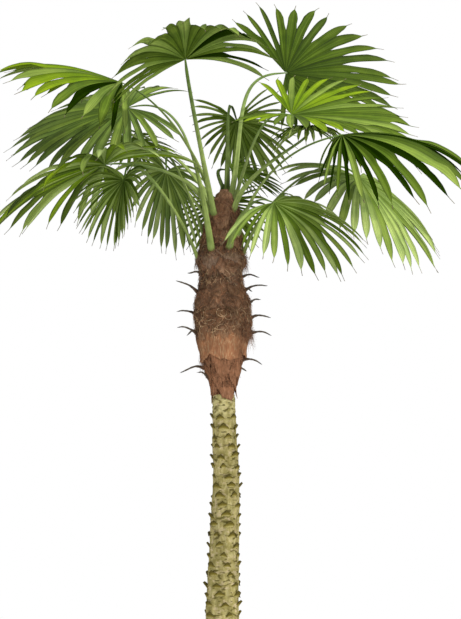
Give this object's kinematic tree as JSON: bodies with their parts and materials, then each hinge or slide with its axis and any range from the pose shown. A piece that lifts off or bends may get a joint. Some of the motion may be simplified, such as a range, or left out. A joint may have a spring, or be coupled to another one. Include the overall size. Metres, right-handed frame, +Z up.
{
  "type": "fan palm tree",
  "caption": "Whole fan palm rooted in the ground: slender trunk with leaf-base stubs, a matted fibre sheath and a crown of round pleated fronds on long petioles.",
  "frame": {"origin": "centre of the flat cut under the trunk, at ground level", "axes": "+Z up along the trunk; +X and +Y level, with no front or back of the plant"},
  "size_m": [3.1239, 2.5293, 5.5222],
  "materials": {
    "bark": "rough olive bark with dark leaf-base stubs",
    "fibre": "matted brown fibre",
    "petiole": "smooth pale green stalk",
    "leaf": "pleated green leaf, satin"
  },
  "bodies": {
    "root": {"trunk": "bark", "fibre_sheath": "fibre", "petiole_01": "petiole", "petiole_02": "petiole", "petiole_03": "petiole", "petiole_04": "petiole", "petiole_05": "petiole", "petiole_06": "petiole", "petiole_07": "petiole", "petiole_08": "petiole", "petiole_09": "petiole", "petiole_10": "petiole", "petiole_11": "petiole", "petiole_12": "petiole", "petiole_13": "petiole", "petiole_14": "petiole", "petiole_15": "petiole", "petiole_16": "petiole", "blade_01": "leaf", "blade_02": "leaf", "blade_03": "leaf", "blade_04": "leaf", "blade_05": "leaf", "blade_06": "leaf", "blade_07": "leaf", "blade_08": "leaf", "blade_09": "leaf", "blade_10": "leaf", "blade_11": "leaf", "blade_12": "leaf", "blade_13": "leaf", "blade_14": "leaf", "blade_15": "leaf", "blade_16": "leaf"}
  },
  "joints": []
}
